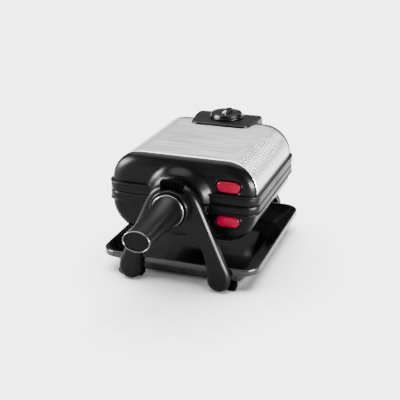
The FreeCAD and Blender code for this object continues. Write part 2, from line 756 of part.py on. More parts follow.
def stand_plate(y0, y1, top):
    # arch with rounded top and legs
    hub_z, hub_x = axis_h + 4, stand_hub_w
    foot_z = leg_lift + leg_r
    out_x, in_x = leg_x + leg_r, leg_x - leg_r
    knee_x, knee_z = leg_x + 5.5, foot_z + 34
    lean_x, lean_z = 0.2 * (knee_x - hub_x), 0.2 * (hub_z - knee_z)
    arch_z = axis_h - arch_drop
    edges = []
    for s in (-1, 1):
        edges.append(bezier(V(0, y0, top), V(s * 0.64 * hub_x, y0, top),
                            V(s * (hub_x - lean_x), y0, hub_z + lean_z), V(s * hub_x, y0, hub_z)))
        edges.append(Part.makeLine(V(s * hub_x, y0, hub_z), V(s * knee_x, y0, knee_z)))
        edges.append(bezier(V(s * knee_x, y0, knee_z), V(s * (knee_x + lean_x), y0, knee_z - lean_z),
                            V(s * out_x, y0, foot_z + 14), V(s * out_x, y0, foot_z)))
        edges.append(Part.Arc(V(s * out_x, y0, foot_z), V(s * leg_x, y0, leg_lift),
                              V(s * in_x, y0, foot_z)).toShape())
        edges.append(bezier(V(s * in_x, y0, foot_z), V(s * in_x, y0, foot_z + 0.49 * (arch_z - foot_z)),
                            V(s * 0.74 * in_x, y0, arch_z), V(0, y0, arch_z)))
    plate = face_of(edges).extrude(V(0, y1 - y0, 0))
    return plate.makeFillet(stand_round, edges_where(plate, lambda b: b.YLength < 1e-6))


def lock_pocket():
    y1 = stand_front + latch_deep + latch_gap
    w = latch_w / 2 + latch_gap
    z0 = axis_h + latch_low
    return box(-w, w, stand_front - hub_reach - 1, y1, z0, z0 + latch_h + 10)


def front_stand():
    body = stand_plate(stand_front, stand_rear_face, axis_h + stand_hub_top)
    body = body.fuse(rod_y(hub_r, 0, axis_h, stand_front - hub_reach, stand_rear_face))
    body = body.cut(rod_y(collar_r + ring_gap, 0, axis_h, stand_front - hub_reach - 1, stand_front - bush_t))
    body = body.cut(rod_y(shaft_r + bush_t, 0, axis_h, shoulder_y, stand_rear_face + 1))
    return body.cut(lock_pocket()).removeSplitter()


def bush(r, y0, y1):
    outer = rod_y(r + bush_t, 0, axis_h, y0, y1)
    return outer.cut(rod_y(r + run_gap, 0, axis_h, y0 - 1, y1 + 1))


def latch_button():
    # ribbed thumb block on a spring
    z0, z1 = axis_h + latch_low, axis_h + latch_low + latch_h
    y0, y1 = stand_front - latch_reach, stand_front + latch_deep
    block = box(-latch_w / 2, latch_w / 2, y0, y1, z0 + latch_travel + 0.6, z1)
    block = block.makeFillet(3, edges_where(block, lambda b: b.ZMin > z1 - 0.01))
    for i in range(4):
        x = 6 * i - 9
        block = block.cut(box(x - 1, x + 1, y0 - 1, y0 + 1.2, z0 + latch_travel + 2, z1 + 1))
    return block.cut(rod_z(latch_spring_r + 1.3, 0, stand_front + 2, z0, z0 + 6)).removeSplitter()


def latch_spring():
    spring = coil(latch_spring_r, 6, 3)
    spring.translate(V(0, stand_front + 2, axis_h + latch_low))
    return spring


def rear_stand():
    body = stand_plate(stand_back, rear_stand_face, axis_h + rear_hub_r)
    body = body.fuse(rod_y(rear_hub_r, 0, axis_h, stand_back - bush_t, rear_stand_face))
    return body.cut(rod_y(rear_r + bush_t, 0, axis_h, stand_back - 5, rear_stand_face + 1)).removeSplitter()


def cord_gland():
    y0 = rear_stand_face
    body = rod_y(gland_r, 0, axis_h, y0, y0 + gland_t).fuse(
        rod_y(gland_nose_r, 0, axis_h, y0 + gland_t, y0 + gland_t + gland_nose))
    body = body.cut(rod_y(rear_r + 1, 0, axis_h, y0 - 1, y0 + journal_over + 1.5))
    return body.cut(rod_y(cable_r, 0, axis_h, y0, y0 + gland_t + gland_nose + 1)).removeSplitter()


stands = {"front": front_stand(), "rear": rear_stand()}
heel_ends = {"front": (stand_rear_face, stand_rear_face + front_heel_len, 1),
             "rear": (stand_back - rear_heel_len, stand_back, -1)}
heel_screws = []


def heel_set(side, sx, end):
    # heel block, rubber foot and the screw that holds the heel to its stand
    y0, y1, away = heel_ends[end]
    x0, x1 = sorted((sx * (leg_x - heel_in), sx * (leg_x + heel_out)))
    heel = box(x0, x1, y0, y1, rail_z, heel_top)
    heel = heel.makeFillet(3, edges_where(heel, lambda b: b.YLength > 5 and b.ZMin > heel_top - 0.01))
    rail = box(sx * leg_x - rail_w / 2, sx * leg_x + rail_w / 2, y0 - 1, y1 + 1, rail_z, rail_z + rail_t)
    pad_x, pad_y = sx * (leg_x + pad_off), (y0 + y1) / 2
    pin = rod_z(pad_pin_r, pad_x, pad_y, rail_z, rail_z + pad_pin)
    pad = rod_z(pad_r, pad_x, pad_y, 0, rail_z).fuse(pin).removeSplitter()
    far = y1 if end == "front" else y0
    tip = stand_front + 4 if end == "front" else rear_stand_face - 4
    head_out, head_in = far - away * 0.5, far - away * (0.5 + heel_head_t)
    z = rail_z + heel_screw_z
    shank = rod_y(heel_screw_r, sx * leg_x, z, min(head_in, tip), max(head_in, tip))
    head = rod_y(heel_head_r, sx * leg_x, z, min(head_out, head_in), max(head_out, head_in))
    screw = shank.fuse(head).removeSplitter()
    mouth = rod_y(heel_head_r, sx * leg_x, z, min(head_in, far + away), max(head_in, far + away))
    heel_screws.append(screw)
    stands[end] = stands[end].cut(screw)
    parts["heel_%s_%s" % (end, side)] = heel.cut(rail).cut(pin).cut(screw).cut(mouth)
    parts["foot_%s_%s" % (end, side)] = pad


for side, sx in (("left", -1), ("right", 1)):
    for end in ("front", "rear"):
        heel_set(side, sx, end)
    parts["rail_" + side] = box(sx * leg_x - rail_w / 2, sx * leg_x + rail_w / 2,
                                stand_rear_face, stand_back, rail_z, rail_z + rail_t)
parts["heel_screws"] = Part.makeCompound(heel_screws)
parts["front_stand"] = stands["front"]
parts["rear_stand"] = stands["rear"]
parts["front_bush"] = bush(shaft_r, stand_front - bush_t, stand_rear_face)
parts["rear_bush"] = bush(rear_r, stand_back - bush_t, rear_stand_face)
parts["latch_button"] = latch_button()
parts["latch_spring"] = latch_spring()
parts["cord_gland"] = cord_gland()


# ---------------------------------------------------------------- drip tray
def drip_tray():
    w, t = tray_w, tray_t
    f0, f1 = tray_front + slope_front, tray_back - slope_rear
    outer = Part.makeLoft([
        round_rect(w - t, tray_front + t, tray_back - t, tray_corner - t, tray_top - t),
        round_rect(floor_w + 1, f0 - 1, f1 + 1, 14, tray_under)], True, True)
    inner = Part.makeLoft([
        round_rect(w - 2 * t, tray_front + 2 * t, tray_back - 2 * t, tray_corner - 2 * t, tray_top + 0.01),
        round_rect(floor_w, f0, f1, 13, tray_floor)], True, True)
    band = round_block(w, tray_front, tray_back, tray_corner, tray_top - tray_band, tray_top)
    band = band.cut(round_block(w - t, tray_front + t, tray_back - t, tray_corner - t,
                                tray_top - tray_band - 1, tray_top - t))
    return band.fuse(outer).cut(inner).removeSplitter()


parts["drip_tray"] = drip_tray()

# ---------------------------------------------------------------- write out
rearmost = rear_stand_face + gland_t + gland_nose
shift = V(0, -(handle_end + rearmost) / 2, 0)
for name in sorted(parts):
    shape = parts[name].copy()
    shape.translate(shift)
    shape.exportStep("parts/%s.step" % name)
    print("%-20s solids %d valid %s" % (name, len(shape.Solids), shape.isValid()))
print("parts", len(parts), "shift", round(shift.y, 2))
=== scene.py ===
import bpy
import bmesh
import json
from math import cos, hypot, pi, radians, sin
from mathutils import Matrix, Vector


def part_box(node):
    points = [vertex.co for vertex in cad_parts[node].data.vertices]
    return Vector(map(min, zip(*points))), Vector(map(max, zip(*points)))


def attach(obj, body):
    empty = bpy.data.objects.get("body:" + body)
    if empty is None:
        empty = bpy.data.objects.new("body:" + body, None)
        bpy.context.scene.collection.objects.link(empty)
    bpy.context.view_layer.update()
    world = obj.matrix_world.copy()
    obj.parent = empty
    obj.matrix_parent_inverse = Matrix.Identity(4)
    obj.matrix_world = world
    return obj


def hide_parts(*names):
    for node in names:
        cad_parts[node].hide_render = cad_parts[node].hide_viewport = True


# A turning waffle maker: looks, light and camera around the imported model.
# Metres, in the model's own frame: x right, y back, z up.
# Sizes are written in millimetres from the unit's own centre and turned into
# the model's frame by at().

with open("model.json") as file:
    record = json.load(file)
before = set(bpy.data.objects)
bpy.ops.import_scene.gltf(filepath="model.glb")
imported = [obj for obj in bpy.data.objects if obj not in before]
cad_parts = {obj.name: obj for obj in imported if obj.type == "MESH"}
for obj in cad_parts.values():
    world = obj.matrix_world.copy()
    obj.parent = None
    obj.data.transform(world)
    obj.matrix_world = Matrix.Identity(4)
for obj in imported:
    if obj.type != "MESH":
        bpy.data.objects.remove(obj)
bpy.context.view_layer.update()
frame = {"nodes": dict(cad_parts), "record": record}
NODES = frame["nodes"]
scene = bpy.context.scene
MM = 0.001
Y, Z = Vector((0, 1, 0)), Vector((0, 0, 1))

rim_low, rim_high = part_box("upper_rim")
HALF_D = 109.0
SPLIT = rim_low.z / MM - 0.4            # height of the split plane and the turning axis
UNIT_Y = rim_high.y - HALF_D * MM       # the unit's centre


def at(x, y, z):
    return Vector((x * MM, UNIT_Y + y * MM, z * MM))


def node_box(node):
    # a node's box in millimetres from the unit's centre
    low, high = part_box(node)
    shift = Vector((0, UNIT_Y, 0))
    return (low - shift) / MM, (high - shift) / MM


# ---------------------------------------------------------------- materials

def new_material(name, color, roughness, metallic=0.0):
    mat = bpy.data.materials.new(name)
    mat.use_nodes = True
    shader = mat.node_tree.nodes["Principled BSDF"]
    shader.inputs["Base Color"].default_value = (*color, 1)
    shader.inputs["Roughness"].default_value = roughness
    shader.inputs["Metallic"].default_value = metallic
    return mat, mat.node_tree, shader


def object_coords(tree, scale=(1, 1, 1)):
    coords = tree.nodes.new("ShaderNodeTexCoord")
    mapping = tree.nodes.new("ShaderNodeMapping")
    mapping.inputs["Scale"].default_value = scale
    tree.links.new(coords.outputs["Object"], mapping.inputs["Vector"])
    return mapping.outputs["Vector"]


def noise(tree, vector, scale, detail=3.0):
    node = tree.nodes.new("ShaderNodeTexNoise")
    node.inputs["Scale"].default_value = scale
    node.inputs["Detail"].default_value = detail
    tree.links.new(vector, node.inputs["Vector"])
    return node.outputs["Fac"]


def spread(tree, value, low, high, start=0.35, end=0.65):
    node = tree.nodes.new("ShaderNodeMapRange")
    limits = {"From Min": start, "From Max": end, "To Min": low, "To Max": high}
    for socket, number in limits.items():
        node.inputs[socket].default_value = number
    tree.links.new(value, node.inputs["Value"])
    return node.outputs["Result"]


def vary_color(tree, shader, value, dark, light):
    node = tree.nodes.new("ShaderNodeValToRGB")
    node.color_ramp.elements[0].position = 0.3
    node.color_ramp.elements[0].color = (*dark, 1)
    node.color_ramp.elements[1].position = 0.7
    node.color_ramp.elements[1].color = (*light, 1)
    tree.links.new(value, node.inputs["Fac"])
    tree.links.new(node.outputs["Color"], shader.inputs["Base Color"])


def bump(tree, shader, height, strength, distance):
    node = tree.nodes.new("ShaderNodeBump")
    node.inputs["Strength"].default_value = strength
    node.inputs["Distance"].default_value = distance
    tree.links.new(height, node.inputs["Height"])
    tree.links.new(node.outputs["Normal"], shader.inputs["Normal"])


def tint(color, factor):
    return tuple(min(1.0, c * factor) for c in color)


def moulded(name, color, roughness, grain=0.15, coat=0.0, grain_scale=2400.0, specular=0.05):
    # moulded resin: fine eroded grain, slow patches of sheen and colour
    mat, tree, shader = new_material(name, color, roughness)
    vector = object_coords(tree)
    sheen = spread(tree, noise(tree, vector, 16.0), roughness - 0.04, roughness + 0.05)
    tree.links.new(sheen, shader.inputs["Roughness"])
    vary_color(tree, shader, noise(tree, vector, 45.0), tint(color, 0.82), tint(color, 1.18))
    bump(tree, shader, noise(tree, vector, grain_scale, 2.0), grain, 0.0001)
    shader.inputs["Specular IOR Level"].default_value = specular
    shader.inputs["Coat Weight"].default_value = coat
    shader.inputs["Coat Roughness"].default_value = 0.12
    return mat


def brushed(name, color, roughness, stretch, depth=0.10):
    # brushed sheet: fine scratches along the direction with the small scale
    mat, tree, shader = new_material(name, color, roughness, 1.0)
    streaks = noise(tree, object_coords(tree, stretch), 1.0, 4.0)
    sheen = spread(tree, streaks, roughness - 0.06, roughness + 0.08)
    tree.links.new(sheen, shader.inputs["Roughness"])
    vary_color(tree, shader, streaks, tint(color, 0.90), tint(color, 1.08))
    bump(tree, shader, streaks, depth, 0.00004)
    return mat


def plain_metal(name, color, roughness):
    mat, tree, shader = new_material(name, color, roughness, 1.0)
    vector = object_coords(tree)
    sheen = spread(tree, noise(tree, vector, 60.0), roughness - 0.04, roughness + 0.06)
    tree.links.new(sheen, shader.inputs["Roughness"])
    vary_color(tree, shader, noise(tree, vector, 25.0), tint(color, 0.88), tint(color, 1.06))
    return mat


STAND = moulded("stand_resin", (0.003, 0.003, 0.0032), 0.30, 0.06)
SHELL = moulded("shell_resin", (0.0025, 0.0025, 0.0027), 0.28, 0.03)
RIM = moulded("rim_resin", (0.003, 0.003, 0.0032), 0.32, 0.06, specular=0.04)
HANDLE = moulded("handle_resin", (0.0025, 0.0025, 0.0027), 0.36, 0.06, specular=0.035)
MATT = moulded("matt_resin", (0.0008, 0.0008, 0.0009), 0.50, 0.12, specular=0.005)
RED = moulded("button_red", (0.26, 0.0001, 0.022), 0.28, 0.02, specular=0.04)
TRAY = moulded("tray_gloss", (0.0025, 0.0025, 0.003), 0.12, 0.01, 0.0, specular=0.25)
DIAL = moulded("dial_resin", (0.003, 0.003, 0.0033), 0.26, 0.04, specular=0.07)
PALE = moulded("pointer_pale", (0.50, 0.50, 0.49), 0.35, 0.02)
RUBBER = moulded("rubber", (0.006, 0.006, 0.006), 0.75, 0.3)
CERAMIC = moulded("ceramic", (0.70, 0.68, 0.62), 0.45, 0.05)
COVER = brushed("cover_steel", (0.50, 0.50, 0.50), 0.33, (14, 900, 900))
STEEL = plain_metal("plain_steel", (0.30, 0.30, 0.305), 0.35)
BRIGHT = plain_metal("bright_trim", (0.05, 0.05, 0.052), 0.26)
COATED = moulded("coated_plate", (0.028, 0.027, 0.027), 0.36, 0.30, 0.0, 1500.0)
CASTING = plain_metal("casting", (0.30, 0.30, 0.31), 0.42)
SHEET = plain_metal("reflector_sheet", (0.80, 0.80, 0.81), 0.22)
BRASS = plain_metal("bush_brass", (0.70, 0.53, 0.28), 0.4)

BY_SLOT = {"stand_black": STAND, "shell_black": SHELL, "rim_black": RIM, "handle_black": HANDLE,
           "cap_black": MATT, "button_red": RED, "cover_steel": COVER, "bright_trim": BRIGHT,
           "cast_plate": COATED, "cast_journal": CASTING, "reflector_sheet": SHEET,
           "plain_steel": STEEL, "bush_brass": BRASS, "foot_rubber": RUBBER, "tray_black": TRAY,
           "dial_black": DIAL, "pointer_white": PALE, "heel_black": MATT, "ceramic_block": CERAMIC}
SLOT_OF = {part["node"]: part["material_slot"] for part in frame["record"]["subparts"]}
BODIES = frame["record"]["behaviour"]["bodies"]
BODY_OF = {node: body for body, nodes in BODIES.items() for node in nodes}

for node_name, node_object in NODES.items():
    node_object.data.materials.clear()
    node_object.data.materials.append(BY_SLOT[SLOT_OF[node_name]])


# ---------------------------------------------------------------- mesh tools

def make_piece(name, surfaces, node, replaces=(), sharp=32.0):
    """One piece from (points, faces) surfaces; it rides with the node's body and takes its slot."""
    points, faces = [], []
    for some_points, some_faces in surfaces:
        base = len(points)
        points += some_points
        faces += [[base + i for i in face] for face in some_faces]
    mesh = bpy.data.meshes.new(name)
    mesh.from_pydata([tuple(p) for p in points], [], faces)
    work = bmesh.new()
    work.from_mesh(mesh)
    bmesh.ops.remove_doubles(work, verts=work.verts, dist=1e-6)
    bmesh.ops.dissolve_degenerate(work, edges=work.edges, dist=1e-7)
    bmesh.ops.recalc_face_normals(work, faces=work.faces)
    work.to_mesh(mesh)
    work.free()
    piece = bpy.data.objects.new(name, mesh)
    scene.collection.objects.link(piece)
    shade(mesh, sharp)
    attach(piece, BODY_OF[node])
    mesh.materials.append(BY_SLOT[SLOT_OF[node]])
    if replaces:
        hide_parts(*replaces)
    return piece


def shade(mesh, sharp):
    for polygon in mesh.polygons:
        polygon.use_smooth = True
    mesh.set_sharp_from_angle(angle=radians(sharp))


def paint(piece, material):
    piece.data.materials.clear()
    piece.data.materials.append(material)


def skin(rows, around=True, ring=False, ends=(True, True)):
    """Quads between rows of points; around closes each row, ring joins the last to the first."""
    wide = len(rows[0])
    points = [p for row in rows for p in row]
    faces = []
    for r in range(len(rows) if ring else len(rows) - 1):
        a, b = r * wide, (r + 1) % len(rows) * wide
        for k in range(wide if around else wide - 1):
            n = (k + 1) % wide
            faces.append([a + k, a + n, b + n, b + k])
    if around and not ring:
        if ends[0]:
            faces.append(list(range(wide))[::-1])
        if ends[1]:
            last = (len(rows) - 1) * wide
            faces.append([last + k for k in range(wide)])
    return points, faces


def sweep(track, profile, ring=False, ends=(True, True)):
    """A profile of (out, along) in mm carried round a track of (point, outward, along) frames."""
    rows = [[p + out * (o * MM) + along * (h * MM) for p, out, along in track] for o, h in profile]
    return skin(rows, True, ring, ends)


def circle_track(centre, axis, steps=64):
    side = Vector((1, 0, 0)) if abs(axis.x) < 0.5 else Vector((0, 1, 0))
    other = axis.cross(side)
    turns = [2 * pi * k / steps for k in range(steps)]
    return [(centre, side * cos(t) + other * sin(t), axis) for t in turns]


def flat_track(outline, place, along):
    """Track from a counter-clockwise outline of (u, v) in mm; place(u, v) gives the point."""
    track = []
    count = len(outline)
    for k in range(count):
        (u0, v0), (u1, v1) = outline[k - 1], outline[(k + 1) % count]
        point = place(*outline[k])
        tangent = place(u1, v1) - place(u0, v0)
        track.append((point, tangent.cross(along).normalized(), along))
    flow = 0.0                          # positive when the sideways directions point outward
    for k, (point, out, _) in enumerate(track):
        span = (track[(k + 1) % count][0] - track[k - 1][0]).length
        flow += (point - track[0][0]).dot(out) * span
    return track if flow > 0 else [(p, -out, a) for p, out, a in track]


def round_rect(half, y0, y1, r, steps=8, side=6, bow=0.0):
    """Counter-clockwise rounded rectangle, its front edge bowed forward."""
    points = []
    corners = ((half - r, y0 + r, -90), (half - r, y1 - r, 0),
               (r - half, y1 - r, 90), (r - half, y0 + r, 180))
    for i, (cx, cy, start) in enumerate(corners):
        for k in range(steps + 1):
            t = radians(start + 90 * k / steps)
            points.append((cx + r * cos(t), cy + r * sin(t)))
        (ax, ay) = points[-1]
        nx, ny, turn = corners[(i + 1) % 4]
        bx, by = nx + r * cos(radians(turn)), ny + r * sin(radians(turn))
        points += [(ax + (bx - ax) * k / side, ay + (by - ay) * k / side) for k in range(1, side)]
    middle = (y0 + y1) / 2
    return [(u, v - bow * (1 - (u / half) ** 2) if v < middle and bow else v) for u, v in points]


def pill(w, t, steps=14):
    """Counter-clockwise stadium outline about the origin."""
    r = t / 2
    points = []
    for cx, start in ((w / 2 - r, -90), (r - w / 2, 90)):
        for k in range(steps + 1):
            a = radians(start + 180 * k / steps)
            points.append((cx + r * cos(a), r * sin(a)))
    return points


def bezier(points, steps=12):
    """Points along a cubic curve, without its last one."""
    (ax, ay), (bx, by), (cx, cy), (dx, dy) = points
    out = []
    for k in range(steps):
        t = k / steps
        s = 1 - t
        w = (s * s * s, 3 * s * s * t, 3 * s * t * t, t * t * t)
        out.append((w[0] * ax + w[1] * bx + w[2] * cx + w[3] * dx,
                    w[0] * ay + w[1] * by + w[2] * cy + w[3] * dy))
    return out


def rounding(r, steps=6):
    """(inset, rise) pairs over a rounded edge, from the side up to the face."""
    turns = [pi / 2 * k / steps for k in range(steps + 1)]
    return [(r * (1 - cos(t)), r * sin(t)) for t in turns]


def smooth(t):
    t = max(0.0, min(1.0, t))
    return t * t * t * (t * (6 * t - 15) + 10)


def soft_box(low, high, r, steps=3):
    """Box with rounded edges, as one surface."""
    work = bmesh.new()
    bmesh.ops.create_cube(work, size=1.0)
    for vert in work.verts:
        share = vert.co + Vector((0.5, 0.5, 0.5))
        vert.co = at(*(low[i] + share[i] * (high[i] - low[i]) for i in range(3)))
    bmesh.ops.bevel(work, geom=work.edges[:], offset=r * MM, segments=steps, profile=0.5,
                    affect="EDGES")
    work.verts.ensure_lookup_table()
    surface = ([v.co.copy() for v in work.verts], [[v.index for v in f.verts] for f in work.faces])
    work.free()
    return surface


def cut(piece, cutter_surface):
    """Cuts a closed surface out of a piece."""
    mesh = bpy.data.meshes.new("cutter")
    mesh.from_pydata([tuple(p) for p in cutter_surface[0]], [], cutter_surface[1])
    work = bmesh.new()
    work.from_mesh(mesh)
    bmesh.ops.recalc_face_normals(work, faces=work.faces)
    work.to_mesh(mesh)
    work.free()
    cutter = bpy.data.objects.new("cutter", mesh)
    scene.collection.objects.link(cutter)
    modifier = piece.modifiers.new("cut", "BOOLEAN")
    modifier.operation = "DIFFERENCE"
    modifier.object = cutter
    modifier.solver = "EXACT"
    bpy.context.view_layer.update()
    evaluated = piece.evaluated_get(bpy.context.evaluated_depsgraph_get())
    result = bpy.data.meshes.new_from_object(evaluated)
    piece.modifiers.clear()
    piece.data = result
    bpy.data.objects.remove(cutter)


# ---------------------------------------------------------------- shells

SHELL_W, SHELL_D, SHELL_TOP, SHOULDER = 106.0, 107.0, SPLIT + 58.0, 43.0
EDGE_ROUND, EDGE_DEEP = 20.0, 12.4      # rounding round the cap's face: across it and along y
CAP_WALL, CAP_BASE = 3.0, SPLIT + 0.6
COVER_FRONT, COVER_BACK, COVER_T = -94.0, 90.0, 0.8
VENT_R, VENT_PITCH = 2.05, 2.5
HOOD_W, HOOD_H, HOOD_PROUD = 46.0, 44.0, 13.0
BUTTON_X, BUTTON_RISE, BUTTON_W, BUTTON_T = 69.0, 25.0, 33.0, 15.5
WELL_WIDER = 6.4                        # opening for a button's well, over the button
RIM_W, RIM_H, RIM_R, RIM_BOW = 110.0, 14.0, 18.0, 3.6


def dome_line(inset, base, steps=16):
    """Section of the shells from the left foot over the top to the right foot, as (x, z)."""
    w, top, r = SHELL_W - inset, SHELL_TOP - inset, SHOULDER - inset
    knee = top - r
    turns = [pi / 2 * k / steps for k in range(steps)]
    line = [(-w, base + (knee - base) * k / 6) for k in range(6)]
    line += [(-w + r - r * cos(t), knee + r * sin(t)) for t in turns]
    line += [(-(w - r) + 2 * (w - r) * k / 20, top) for k in range(20)]
    line += [(w - r + r * sin(t), knee + r * cos(t)) for t in turns]
    line += [(w, knee + (base - knee) * k / 6) for k in range(7)]
    return line


def hood(x, z):
    """How far the hood swells forward of the cap's face."""
    reach = hypot(x / HOOD_W, (z - SPLIT) / HOOD_H)
    return HOOD_PROUD * (1 - smooth((reach - 0.70) / 0.48))


def cap_rows(inset, base):
    """The cap's skin from the cover's edge over the rounding and across the face."""
    face, r, deep = SHELL_D - inset, EDGE_ROUND - inset, EDGE_DEEP - inset
    rows = [[at(x, COVER_FRONT, z) for x, z in dome_line(inset, base)]]
    for extra, rise in rounding(r, 12):
        share = rise / r
        rows.append([at(x, -face + deep * (1 - share) - hood(x, z) * share * share, z)
                     for x, z in dome_line(inset + extra, base)])
    last = dome_line(inset + r, base)
    for k in range(1, 31):
        s = 1 - k / 30 * 0.985          # shrinks the last row towards the middle of the base
        row = [(x * s, base + (z - base) * s) for x, z in last]
        rows.append([at(x, -face - hood(x, z), z) for x, z in row])
    return rows


def shell_between(outer, inner):
    """Closed wall between two open surfaces with the same rows."""
    points, faces = skin(outer, False)
    inner_points, inner_faces = skin(inner, False)
    base, wide, high = len(points), len(outer[0]), len(outer)
    edge = list(range(wide))
    edge += [r * wide + wide - 1 for r in range(1, high)]
    edge += [(high - 1) * wide + k for k in range(wide - 2, -1, -1)]
    edge += [r * wide for r in range(high - 2, 0, -1)]
    faces += [[base + i for i in face] for face in inner_faces]
    for k in range(len(edge)):
        a, b = edge[k], edge[(k + 1) % len(edge)]
        faces.append([a, b, base + b, base + a])
    return points + inner_points, faces


def pill_block(w, t, x, z, y0, y1):
    """Stadium-shaped block between two depths."""
    track = flat_track(pill(w, t), lambda u, v: at(x + u, y0, z + v), Y)
    return sweep(track, [(0, 0), (0, y1 - y0)])


def button_track(side):
    z = SPLIT + side * BUTTON_RISE
    return flat_track(pill(BUTTON_W, BUTTON_T), lambda u, v: at(BUTTON_X + u, -SHELL_D, z + v), -Y)


def well(name, side, node):
    """Lining of a button's well with its raised edge."""
    profile = [(3.7, -0.6), (3.6, 0.1), (3.2, 0.6), (2.7, 0.7), (2.2, 0.4), (1.9, -0.4),
               (1.8, -8.6)]
    make_piece(name, [sweep(button_track(side), profile, False, (False, True))], node)


def release_button(name, side, node):
    """Crowned button on its stem."""
    z, track = SPLIT + side * BUTTON_RISE, button_track(side)
    profile = [(-0.2, -4.4), (0, -4.2), (0, 0.2), (-0.15, 0.75), (-0.6, 1.25), (-1.3, 1.5),
               (-3.0, 1.7), (-5.5, 1.85)]
    stem = circle_track(at(BUTTON_X, -SHELL_D, z), -Y, 24)
    make_piece(name, [sweep(track, profile), sweep(stem, [(3, -20), (3, -4.3)])], node, (node,))


cap_wall = shell_between(cap_rows(0.0, CAP_BASE), cap_rows(CAP_WALL, CAP_BASE))
front_cap = make_piece("front_cap_shell", [cap_wall], "front_cap", ("front_cap",), 40)
cut(front_cap, pill_block(BUTTON_W + WELL_WIDER, BUTTON_T + WELL_WIDER, BUTTON_X,
                          SPLIT + BUTTON_RISE, -130, -90))
shade(front_cap.data, 40)
well("upper_button_well", 1, "front_cap")
well("lower_button_well", -1, "lower_shell")
release_button("upper_button_cap", 1, "upper_button")
release_button("lower_button_cap", -1, "lower_button")


def cover_sheet():
    """Stainless cover with rows of round vents pierced along both shoulders."""
    first_y, rows_y = -89.0, 62
    arc_cells, start = 12, radians(20)
    step = VENT_PITCH / SHOULDER
    end = start + arc_cells * step
    line = [(SHELL_W, SPLIT + RIM_H), (SHELL_W, SHELL_TOP - SHOULDER)]
    tail = [end + (pi / 2 - start - arc_cells * step) * k / 6 for k in range(5, 0, -1)]
    angles = tail + [start + (arc_cells - k) * step for k in range(arc_cells + 1)]
    angles += [start / 2, 0.0]
    line += [(SHELL_W - SHOULDER + SHOULDER * sin(a), SHELL_TOP - SHOULDER + SHOULDER * cos(a))
             for a in angles]
    line += [(-x, z) for x, z in reversed(line)]
    zone = 2 + len(tail)
    ys = [COVER_FRONT, first_y - 2.0] + [first_y + VENT_PITCH * k for k in range(rows_y + 1)]
    ys += [ys[-1] + (COVER_BACK - ys[-1]) * k / 3 for k in (1, 2, 3)]
    wide = len(line)
    points = [at(x, y, z) for y in ys for x, z in line]
    taken, faces = set(), []
    for col0 in (zone, wide - 1 - zone - arc_cells):
        for i in range(arc_cells // 2):
            for j in range(rows_y // 2):
                if (i + j) % 2:
                    continue
                c, r = col0 + 2 * i, 2 + 2 * j
                steps = ((0, 0), (0, 1), (0, 2), (1, 2), (2, 2), (2, 1), (2, 0), (1, 0))
                loop = [(r + a) * wide + c + b for a, b in steps]
                centre = points[(r + 1) * wide + c + 1]
                base = len(points)
                for index in loop:
                    away = points[index] - centre
                    points.append(centre + away.normalized() * (VENT_R * MM))
                faces += [[loop[k], loop[(k + 1) % 8], base + (k + 1) % 8, base + k]
                          for k in range(8)]
                taken.update(((r, c), (r, c + 1), (r + 1, c), (r + 1, c + 1)))
    for r in range(len(ys) - 1):
        for c in range(wide - 1):
            if (r, c) not in taken:
                a = r * wide + c
                faces.append([a, a + 1, a + wide + 1, a + wide])
    used = sorted({i for face in faces for i in face})
    place = {old: new for new, old in enumerate(used)}
    return [points[i] for i in used], [[place[i] for i in face] for face in faces]


cover = make_piece("cover_sheet", [cover_sheet()], "stainless_cover", ("stainless_cover",), 50)
sheet = cover.modifiers.new("thickness", "SOLIDIFY")
sheet.thickness = COVER_T * MM
sheet.offset = -1.0

# painted shade: dark matt sheets behind the vents, so the holes show dark where there is only shade
vent_shade_line = [(x, z) for x, z in dome_line(2.2, SPLIT + RIM_H + 1)
               if abs(x) > 62 and z > SPLIT + 26]
for side, name in ((1, "painted_vent_shade_right"), (-1, "painted_vent_shade_left")):
    half = [p for p in vent_shade_line if p[0] * side > 0]
    strips = [[at(x, y, z) for x, z in half] for y in (-90.0, 72.0)]
    vent_shade_sheet = make_piece(name, [skin(strips, False)], "stainless_cover")
    paint(vent_shade_sheet, MATT)


def rim(name, side, node):
    """Rim moulding swept round the unit: a lip on its outer edge, a chamfer at the split."""
    profile = [(-16.0, 0.5), (-1.3, 0.4), (-0.5, 0.6), (0.0, 1.3), (0.35, 4.5), (0.35, 8.5),
               (0.0, 10.9), (0.25, 11.3), (0.95, 11.9), (1.15, 12.7), (0.95, 13.5), (0.2, 14.1),
               (-1.5, 14.3), (-4.2, 14.2), (-16.0, 13.8)]
    outline = round_rect(RIM_W, -HALF_D, HALF_D, RIM_R, 10, 24, RIM_BOW)
    track = flat_track(outline, lambda u, v: at(u, v, SPLIT), Z * side)
    make_piece(name, [sweep(track, profile, True)], node, (node,), 38)


rim("upper_rim_band", 1, "upper_rim")
rim("lower_rim_band", -1, "lower_rim")

# ---------------------------------------------------------------- stands

HUB_R, COLLAR_R, RING_FRONT = 27.5, 23.4, -156.0
RING_BORE = COLLAR_R + 0.8
STAND_FRONT, STAND_REAR = -142.0, -129.0
LATCH_W, LATCH_Z, LATCH_BACK = 16.2, SPLIT + 21.3, -133.5    # slot for the lock button


